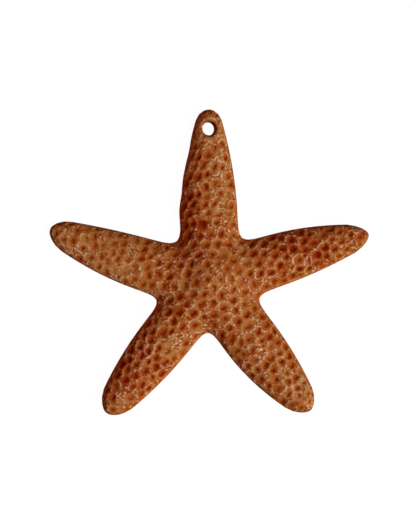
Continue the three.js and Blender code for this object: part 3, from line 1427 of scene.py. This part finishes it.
@dataclass(frozen=True)
class ShellFinish:
    """Chalky varnished shell, tan on ridges, red-brown in dimples from staining and painted shade.

    The shade of a point runs from 0, pale, to 1, dark, and the stops turn it into a colour. A field
    that ends in _shade or _bump is how much a mark darkens or raises the skin. A grain is a noise's
    scale, octaves and roughness.
    """

    # The darker stops also colour painted shade: the blots on the dimples' shaded walls, the cord
    # hole's wall, the grooves and the mouth.
    bone: Colour = (0.42, 0.215, 0.08, 1)
    ridge: Colour = (0.365, 0.145, 0.034, 1)
    flesh: Colour = (0.32, 0.072, 0.009, 1)
    stain_and_painted_shade: Colour = (0.22, 0.026, 0.003, 1)
    pit: Colour = (0.16, 0.008, 0.0008, 1)
    levels: tuple[float, ...] = (0.0, 0.27, 0.5, 0.76, 1.0)
    edge: Colour = (0.5, 0.13, 0.016, 1)
    edge_share: float = 0.8
    rust: Colour = (0.22, 0.03, 0.003, 1)
    rust_share: float = 0.75
    # Painted highlight on the dimples' upper-left rims, which face the light, and pale specks
    # between the dimples.
    chalk_and_painted_highlight: Colour = (0.53, 0.38, 0.22, 1)
    chalk_and_highlight_share: float = 0.95
    # Painted shade inside each pore, a hole too small for the mesh.
    pore: Colour = (0.07, 0.012, 0.006, 1)
    pore_share: float = 0.8
    broad: Grain = (90, 2, 0.5)
    mottle: Grain = (420, 2, 0.5)
    fine: Grain = (1500, 2, 0.6)
    streak: Grain = (260, 3, 0.55)
    worn: Grain = (150, 1, 0.5)
    worn_band: Band = (0.38, 0.56)
    grit: Grain = (700, 1, 0.4)
    grit_band: Band = (0.38, 0.52)
    speck: Grain = (820, 1, 0.4)
    speck_band: Band = (0.58, 0.66)
    rust_grain: Grain = (640, 1, 0.4)
    rust_band: Band = (0.53, 0.6)
    network_band: Band = (0.62, 1.0)
    ring_inside: Band = (0.8, 0.92)
    ring_outside: Band = (1.1, 0.98)
    ring_side: Band = (-0.3, 0.6)
    ring_highlight: float = 0.8
    margin_band: Band = (0.85, 0.45)
    edge_band: Band = (0.8, 0.1)
    under_band: Band = (-0.2, -0.6)
    seam_scale: float = 560.0
    seam_band: Band = (0.16, 0.02)
    pore_band: Band = (1.25, 0.7)
    pore_reach: Band = (4.6, 3.4)
    base_shade: float = 0.325
    network_shade: float = 0.02
    # How much the blots, painted shade over weaker staining, darken the skin.
    blot_shade: float = 1.06
    crest_shade: float = -0.12
    lip_shade: float = -0.1
    mottle_shade: float = 0.5
    network_mottle_shade: float = 0.7
    broad_shade: float = 0.5
    fine_shade: float = 0.6
    tone_shade: float = 0.1
    pale_shade: float = -0.04
    streak_shade: float = 1.6
    side_shade: float = 0.1
    # Painted shade on the cord hole's wall, in the grooves and in the mouth.
    painted_recess_shade: float = 0.66
    under_shade: float = 0.12
    seam_shade: float = 0.3
    under_mottle_shade: float = 0.3
    under_broad_shade: float = 0.4
    fine_bump: float = 0.06
    pore_bump: float = -0.5
    mottle_bump: float = 0.2
    chalk_and_highlight_bump: float = 0.12
    rust_bump: float = -0.1
    streak_bump: float = 0.7
    seam_bump: float = -0.5
    bump_strength: float = 0.9
    bump_height: float = 0.6 * MM
    roughness: float = 0.46
    mottle_roughness: float = 0.25
    hollow_roughness: float = 0.1
    gloss: float = 0.03
    varnish: float = 0.3
    varnish_roughness: float = 0.13
    scatter: float = 0.2
    scatter_radius: tuple[float, float, float] = (1.0, 0.25, 0.08)
    scatter_scale: float = 0.8 * MM

    def material(self) -> bpy.types.Material:
        """Builds the material.

        Returns:
            The material, which reads the skin's attributes and Object coordinates.
        """
        graph = Graph("starfish_shell")
        marks = self._marks(graph)
        bump = graph.add("ShaderNodeBump", {}, {
            "Height": self._height(marks), "Strength": self.bump_strength,
            "Distance": self.bump_height,
        })
        roughness = marks.mottle * self.mottle_roughness + marks.hollow * self.hollow_roughness
        shader = graph.add("ShaderNodeBsdfPrincipled", {}, {
            "Base Color": self._colour(graph, marks),
            "Roughness": roughness + self.roughness,
            "Normal": bump,
            "Specular IOR Level": self.gloss,
            "Coat Weight": (1.0 - marks.under) * (1.0 - marks.edge) * self.varnish,
            "Coat Roughness": self.varnish_roughness,
            "Subsurface Weight": self.scatter,
            "Subsurface Radius": self.scatter_radius,
            "Subsurface Scale": self.scatter_scale,
        })
        graph.surface(shader)
        return graph.material

    def _marks(self, graph: Graph) -> SimpleNamespace:
        """Reads what is stored on the skin and makes the noises and zones from it.

        Args:
            graph: The material's graph.

        Returns:
            The wires by name. The noises broad, mottle, fine and streak run about 0.
        """
        where = graph.add("ShaderNodeTexCoord", {}, {}, "Object")
        stored = (
            "hollow", "crest", "upward", "stain_and_painted_shade", "tone", "lip", "bore", "pale", "slope", "patch",
            "groove", "rim_gap", "rim_side", "pore_gap",
        )
        marks = SimpleNamespace(**{name: graph.attribute(name, "Fac") for name in stored})
        marks.broad = graph.noise(where, *self.broad) - 0.5
        marks.mottle = graph.noise(where, *self.mottle) - 0.5
        marks.fine = graph.noise(where, *self.fine) - 0.5
        streak = graph.noise(graph.attribute("flow", "Vector"), *self.streak) - 0.5
        marks.streak = marks.slope.ramp(*self.margin_band) * streak
        marks.network = marks.rim_gap.ramp(*self.network_band)
        # The ring is a painted highlight on the upper-left rim of each dimple, which faces the
        # light; the specks in the network are pale grains.
        ring = marks.rim_gap.ramp(*self.ring_inside) * marks.rim_gap.ramp(*self.ring_outside)
        ring = ring * marks.rim_side.ramp(*self.ring_side) * self.ring_highlight
        worn = graph.noise(where, *self.worn).ramp(*self.worn_band)
        grit = graph.noise(where, *self.grit).ramp(*self.grit_band)
        speck = graph.noise(where, *self.speck).ramp(*self.speck_band)
        marks.chalk_and_painted_highlight = ring * grit * worn + marks.network * speck
        marks.rust = marks.network * graph.noise(where, *self.rust_grain).ramp(*self.rust_band)
        marks.under = marks.slope.ramp(*self.under_band)
        marks.edge = marks.slope.ramp(*self.edge_band) * (1.0 - marks.under) * (1.0 - marks.bore)
        plates = graph.add(
            "ShaderNodeTexVoronoi", {"feature": "DISTANCE_TO_EDGE"},
            {"Vector": where, "Scale": self.seam_scale}, "Distance",
        )
        marks.seam = plates.ramp(*self.seam_band)
        # The pore mark: where the material paints the shade inside each pore.
        offset = graph.attribute("pore_offset", "Vector")
        length = graph.add("ShaderNodeVectorMath", {"operation": "LENGTH"}, {0: offset}, "Value")
        marks.pore = length.ramp(*self.pore_band) * marks.pore_gap.ramp(*self.pore_reach)
        return marks

    def _shade(self, marks: SimpleNamespace) -> Wire:
        """Adds up how dark the skin is, with the painted shade and painted light of the marks.

        Args:
            marks: The wires by name.

        Returns:
            The shade, from 0, pale, to 1, dark.
        """
        mottle = marks.mottle * (self.mottle_shade + marks.network * self.network_mottle_shade)
        shade = marks.network * self.network_shade + marks.stain_and_painted_shade * self.blot_shade + mottle
        shade = shade + marks.crest * self.crest_shade + marks.lip * self.lip_shade + marks.patch
        shade = shade + marks.broad * self.broad_shade + marks.fine * self.fine_shade
        shade = shade + (marks.tone - 0.5) * self.tone_shade + marks.pale * self.pale_shade
        shade = shade + marks.streak * self.streak_shade + (1.0 - marks.upward) * self.side_shade
        shade = shade + self.base_shade
        # Painted shade on the cord hole's wall, darkest on its shaded right side.
        shade = shade * (1.0 - marks.bore) + marks.bore * self.painted_recess_shade
        under = marks.seam * self.seam_shade + marks.mottle * self.under_mottle_shade
        under = under + marks.broad * self.under_broad_shade + self.under_shade
        shade = shade * (1.0 - marks.under) + under * marks.under
        # Painted shade inside the grooves and the mouth.
        return shade * (1.0 - marks.groove) + marks.groove * self.painted_recess_shade

    def _colour(self, graph: Graph, marks: SimpleNamespace) -> Wire:
        """Colours the skin.

        Args:
            graph: The material's graph.
            marks: The wires by name.

        Returns:
            The colour.
        """
        colours = (self.bone, self.ridge, self.flesh, self.stain_and_painted_shade, self.pit)
        stops = tuple(zip(self.levels, colours))
        shade = self._shade(marks)
        colour = graph.add("ShaderNodeValToRGB", {"stops": stops}, {"Fac": shade}, "Color")
        colour = graph.mix(marks.edge * self.edge_share, colour, self.edge)
        colour = graph.mix(marks.rust * self.rust_share, colour, self.rust)
        chalk_and_painted_highlight = (marks.chalk_and_painted_highlight * marks.upward * (1.0 - marks.bore)).clamped()
        colour = graph.mix(chalk_and_painted_highlight * self.chalk_and_highlight_share, colour, self.chalk_and_painted_highlight)
        return graph.mix(marks.pore * self.pore_share, colour, self.pore)

    def _height(self, marks: SimpleNamespace) -> Wire:
        """Adds up the fine relief.

        Args:
            marks: The wires by name.

        Returns:
            The height that the bump reads.
        """
        height = marks.fine * self.fine_bump + marks.pore * self.pore_bump
        height = height + marks.mottle * self.mottle_bump + marks.chalk_and_painted_highlight * self.chalk_and_highlight_bump
        height = height + marks.rust * self.rust_bump + marks.streak * self.streak_bump
        return height + marks.seam * marks.under * self.seam_bump


@dataclass(frozen=True)
class SpineFinish:
    """Bare dried spines and tube feet, paler than the back."""

    light: Colour = (0.45, 0.27, 0.12, 1)
    dark: Colour = (0.3, 0.13, 0.045, 1)
    mottle: Grain = (500, 2, 0.5)
    mottle_band: Band = (0.35, 0.65)
    roughness: float = 0.6

    def material(self) -> bpy.types.Material:
        """Builds the material.

        Returns:
            The material, which reads Object coordinates.
        """
        graph = Graph("starfish_spines")
        where = graph.add("ShaderNodeTexCoord", {}, {}, "Object")
        mottle = graph.noise(where, *self.mottle).ramp(*self.mottle_band)
        graph.surface(graph.add("ShaderNodeBsdfPrincipled", {}, {
            "Base Color": graph.mix(mottle, self.dark, self.light),
            "Roughness": self.roughness,
        }))
        return graph.material


@dataclass(frozen=True)
class StageFinish:
    """A pale, evenly glowing sheet, for the floor and the wall round it."""

    colour: Colour = (0.06, 0.06, 0.06, 1)
    light: Colour = (1, 1, 1, 1)
    glow: float = 0.98
    roughness: float = 0.9

    def material(self) -> bpy.types.Material:
        """Builds the material.

        Returns:
            The material, which has one even colour.
        """
        graph = Graph("stage")
        graph.surface(graph.add("ShaderNodeBsdfPrincipled", {}, {
            "Base Color": self.colour,
            "Roughness": self.roughness,
            "Specular IOR Level": 0.0,
            "Emission Color": self.light,
            "Emission Strength": self.glow,
        }))
        return graph.material


# ---------------------------------------------------------------- the studio


@dataclass
class Studio:
    """The floor, the wall round it, the lights and the camera.

    The camera looks straight down from a point that is camera_offset away from the aim in plan.
    """

    aim: Vector
    floor_size: float = 6.0
    wall_radius: float = 2.95
    wall_height: float = 1.4
    wall_sides: int = 96
    lens: float = 120.0
    long_side: float = 245.7 * MM
    sensor: float = 36.0
    camera_offset: Vector = field(default_factory=lambda: Vector((-0.55, 1.05)) * MM)
    key_heading: float = math.radians(-26)
    key_height: float = math.radians(39)
    lamp_distance: float = 3.6
    key_size: float = 1.9
    key_power: float = 163.0
    key_colour: tuple[float, float, float] = (0.97, 0.92, 0.9)
    glint_heading: float = math.radians(-40)
    glint_height: float = math.radians(62)
    glint_size: float = 0.35
    glint_power: float = 16.0
    fill_height: float = math.radians(30)
    fill_size: float = 2.4
    fill_power: float = 33.0
    fill_colour: tuple[float, float, float] = (1.0, 0.2, 0.05)
    sky: Colour = (1, 0.5, 0.3, 1)
    sky_strength: float = 0.04

    def build(self) -> None:
        """Makes everything in the scene but the object."""
        shape = bmesh.new()
        bmesh.ops.create_grid(shape, x_segments=1, y_segments=1, size=self.floor_size / 2)
        self._backdrop("floor", shape)
        shape = bmesh.new()
        bmesh.ops.create_cone(
            shape, cap_ends=False, segments=self.wall_sides, radius1=self.wall_radius,
            radius2=self.wall_radius, depth=self.wall_height,
            matrix=Matrix.Translation((0, 0, self.wall_height / 2)),
        )
        self._backdrop("wall", shape).visible_shadow = False
        key = self._lamp("key", self.key_heading, self.key_height, self.key_size, self.key_power)
        key.visible_glossy = False
        key.data.color = self.key_colour
        self._lamp("glint", self.glint_heading, self.glint_height, self.glint_size, self.glint_power)
        behind = self.key_heading + math.pi
        fill = self._lamp("fill", behind, self.fill_height, self.fill_size, self.fill_power)
        fill.data.color = self.fill_colour
        fill.visible_glossy = False
        self._world()
        self._camera()
        bpy.context.scene.view_settings.view_transform = "Standard"

    def _backdrop(self, name: str, shape: bmesh.types.BMesh) -> bpy.types.Object:
        """Makes the floor or the wall. It sends no light back, so it lifts no shadow.

        Args:
            name: The name of the thing.
            shape: Its mesh, which is freed.

        Returns:
            The thing, kept out of the part.
        """
        mesh = bpy.data.meshes.new(name)
        shape.to_mesh(mesh)
        shape.free()
        mesh.materials.append(StageFinish().material())
        made = linked(name, mesh)
        made.visible_diffuse = False
        made.visible_glossy = False
        made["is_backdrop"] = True
        return made

    def _lamp(
        self, name: str, heading: float, height: float, size: float, power: float
    ) -> bpy.types.Object:
        """Adds a square soft light that points at the object.

        Args:
            name: The lamp's name.
            heading: Direction it stands in, from +X.
            height: How far it is above the horizon.
            size: Length of its side.
            power: Its power in watts.

        Returns:
            The lamp.
        """
        light = bpy.data.lights.new(name, "AREA")
        light.shape = "SQUARE"
        light.size = size
        light.energy = power
        lamp = linked(name, light)
        flat = Vector(towards(heading)) * math.cos(height)
        away = flat + Vector((0, 0, math.sin(height)))
        lamp.location = self.aim + away * self.lamp_distance
        lamp.rotation_euler = away.to_track_quat("Z", "Y").to_euler()
        return lamp

    def _world(self) -> None:
        """Sets an even pale surrounding."""
        world = bpy.data.worlds.new("studio")
        bpy.context.scene.world = world
        world.use_nodes = True
        backdrop = world.node_tree.nodes["Background"]
        backdrop.inputs["Color"].default_value = self.sky
        backdrop.inputs["Strength"].default_value = self.sky_strength

    def _camera(self) -> None:
        """Puts the camera straight above the object."""
        data = bpy.data.cameras.new("camera")
        data.lens = self.lens
        data.sensor_width = self.sensor
        camera = linked("camera", data)
        distance = self.long_side * self.lens / self.sensor
        camera.location = self.aim + Vector((*self.camera_offset, distance))
        bpy.context.scene.camera = camera


def main() -> None:
    """Builds the object and the studio."""
    logging.basicConfig(level=logging.INFO, format="%(name)s: %(message)s")
    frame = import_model()
    cad_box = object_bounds()
    solid = frame["nodes"][NODE]
    anatomy = Anatomy(solid, frame["record"])
    skin = Skin(solid, anatomy, CordHole(anatomy.hole)).build()
    skin.data.materials.append(ShellFinish().material())
    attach(skin, BODY)
    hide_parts(NODE)
    fringe = GrooveFringe(anatomy).build()
    fringe.data.materials.append(SpineFinish().material())
    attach(fringe, BODY)
    for piece in (skin, fringe):
        LOG.info("%s: %d triangles", piece.name, triangles_in(piece.data))
    low, high = cad_box
    Studio(aim=Vector(((low.x + high.x) / 2, (low.y + high.y) / 2, 0))).build()


if __name__ == "__main__":
    main()
